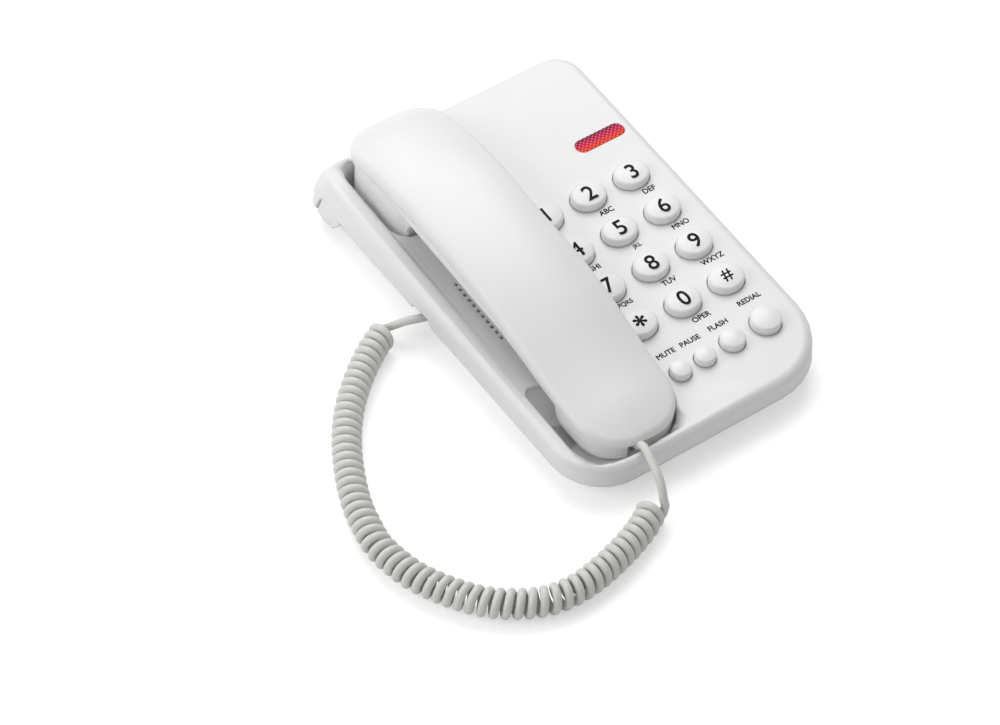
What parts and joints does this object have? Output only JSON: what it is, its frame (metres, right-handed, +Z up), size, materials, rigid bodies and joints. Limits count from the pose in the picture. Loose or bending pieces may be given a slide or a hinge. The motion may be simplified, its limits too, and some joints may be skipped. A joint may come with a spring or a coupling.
{
  "type": "corded desk telephone",
  "caption": "Corded push-button desk telephone with a sloping base, a handset resting in two wells along its left side and a curly cord lying beside it",
  "frame": {"origin": "on the table under the middle of the base, halfway along its length and width", "axes": "+X to the phone's right, +Y to its rear, +Z up"},
  "size_m": [0.2161, 0.2444, 0.0549],
  "materials": {
    "shell": "satin white moulded plastic",
    "keycap": "smooth satin white plastic",
    "steel": "plated steel",
    "rubber": "matt moulded rubber",
    "board": "coated board",
    "lens": "clear tinted plastic",
    "lamp": "tinted diode body",
    "dark_plastic": "matt dark plastic",
    "clear_plastic": "clear glossy plastic",
    "cord": "smooth soft plastic jacket"
  },
  "bodies": {
    "base": {"top_housing": "shell", "bottom_housing": "shell", "base_screws": "steel", "rubber_feet": "rubber", "main_board": "board", "keypad_membrane": "rubber", "indicator_lens": "lens", "indicator_led": "lamp", "hook_switch": "dark_plastic", "hanger_tab": "shell", "ringer_speaker": "dark_plastic", "base_jack": "dark_plastic", "line_jack": "dark_plastic", "base_plug": "clear_plastic", "base_lead": "cord", "cord_coil": "cord", "handset_lead": "cord"},
    "key_1_cap": {"key_1": "keycap"},
    "key_2_cap": {"key_2": "keycap"},
    "key_3_cap": {"key_3": "keycap"},
    "key_4_cap": {"key_4": "keycap"},
    "key_5_cap": {"key_5": "keycap"},
    "key_6_cap": {"key_6": "keycap"},
    "key_7_cap": {"key_7": "keycap"},
    "key_8_cap": {"key_8": "keycap"},
    "key_9_cap": {"key_9": "keycap"},
    "key_star_cap": {"key_star": "keycap"},
    "key_0_cap": {"key_0": "keycap"},
    "key_hash_cap": {"key_hash": "keycap"},
    "key_redial_cap": {"key_redial": "keycap"},
    "key_flash_cap": {"key_flash": "keycap"},
    "key_pause_cap": {"key_pause": "keycap"},
    "key_mute_cap": {"key_mute": "keycap"},
    "handset": {"handset_top_shell": "shell", "handset_bottom_shell": "shell", "earpiece_speaker": "dark_plastic", "microphone": "steel", "microphone_boot": "rubber", "handset_weight": "steel", "handset_jack": "dark_plastic", "handset_screws": "steel", "handset_plug": "clear_plastic"},
    "hook": {"hook_plunger": "keycap"}
  },
  "joints": [
    {"name": "key_1_press", "type": "slide", "parent": "base", "child": "key_1_cap", "axis": [0, 0.0785, -0.9969], "range_m": [0, 0.0012], "stiffness_N_per_m": 900, "springref_m": -0.0004},
    {"name": "key_2_press", "type": "slide", "parent": "base", "child": "key_2_cap", "axis": [0, 0.0785, -0.9969], "range_m": [0, 0.0012], "stiffness_N_per_m": 900, "springref_m": -0.0004},
    {"name": "key_3_press", "type": "slide", "parent": "base", "child": "key_3_cap", "axis": [0, 0.0785, -0.9969], "range_m": [0, 0.0012], "stiffness_N_per_m": 900, "springref_m": -0.0004},
    {"name": "key_4_press", "type": "slide", "parent": "base", "child": "key_4_cap", "axis": [0, 0.0785, -0.9969], "range_m": [0, 0.0012], "stiffness_N_per_m": 900, "springref_m": -0.0004},
    {"name": "key_5_press", "type": "slide", "parent": "base", "child": "key_5_cap", "axis": [0, 0.0785, -0.9969], "range_m": [0, 0.0012], "stiffness_N_per_m": 900, "springref_m": -0.0004},
    {"name": "key_6_press", "type": "slide", "parent": "base", "child": "key_6_cap", "axis": [0, 0.0785, -0.9969], "range_m": [0, 0.0012], "stiffness_N_per_m": 900, "springref_m": -0.0004},
    {"name": "key_7_press", "type": "slide", "parent": "base", "child": "key_7_cap", "axis": [0, 0.0785, -0.9969], "range_m": [0, 0.0012], "stiffness_N_per_m": 900, "springref_m": -0.0004},
    {"name": "key_8_press", "type": "slide", "parent": "base", "child": "key_8_cap", "axis": [0, 0.0785, -0.9969], "range_m": [0, 0.0012], "stiffness_N_per_m": 900, "springref_m": -0.0004},
    {"name": "key_9_press", "type": "slide", "parent": "base", "child": "key_9_cap", "axis": [0, 0.0785, -0.9969], "range_m": [0, 0.0012], "stiffness_N_per_m": 900, "springref_m": -0.0004},
    {"name": "key_star_press", "type": "slide", "parent": "base", "child": "key_star_cap", "axis": [0, 0.0785, -0.9969], "range_m": [0, 0.0012], "stiffness_N_per_m": 900, "springref_m": -0.0004},
    {"name": "key_0_press", "type": "slide", "parent": "base", "child": "key_0_cap", "axis": [0, 0.0785, -0.9969], "range_m": [0, 0.0012], "stiffness_N_per_m": 900, "springref_m": -0.0004},
    {"name": "key_hash_press", "type": "slide", "parent": "base", "child": "key_hash_cap", "axis": [0, 0.0785, -0.9969], "range_m": [0, 0.0012], "stiffness_N_per_m": 900, "springref_m": -0.0004},
    {"name": "key_redial_press", "type": "slide", "parent": "base", "child": "key_redial_cap", "axis": [0, 0.0785, -0.9969], "range_m": [0, 0.0012], "stiffness_N_per_m": 900, "springref_m": -0.0004},
    {"name": "key_flash_press", "type": "slide", "parent": "base", "child": "key_flash_cap", "axis": [0, 0.0785, -0.9969], "range_m": [0, 0.0012], "stiffness_N_per_m": 900, "springref_m": -0.0004},
    {"name": "key_pause_press", "type": "slide", "parent": "base", "child": "key_pause_cap", "axis": [0, 0.0785, -0.9969], "range_m": [0, 0.0012], "stiffness_N_per_m": 900, "springref_m": -0.0004},
    {"name": "key_mute_press", "type": "slide", "parent": "base", "child": "key_mute_cap", "axis": [0, 0.0785, -0.9969], "range_m": [0, 0.0012], "stiffness_N_per_m": 900, "springref_m": -0.0004},
    {"name": "handset_lift", "type": "slide", "parent": "base", "child": "handset", "axis": [0, -0.0785, 0.9969], "range_m": [0, 0.04], "deforming": ["handset_lead"]},
    {"name": "hook_rise", "type": "slide", "parent": "base", "child": "hook", "axis": [0, -0.0785, 0.9969], "range_m": [0, 0.0025]}
  ],
  "couplings": [
    {"joint": "hook_rise", "follows": "handset_lift", "ratio": 0.0625}
  ]
}
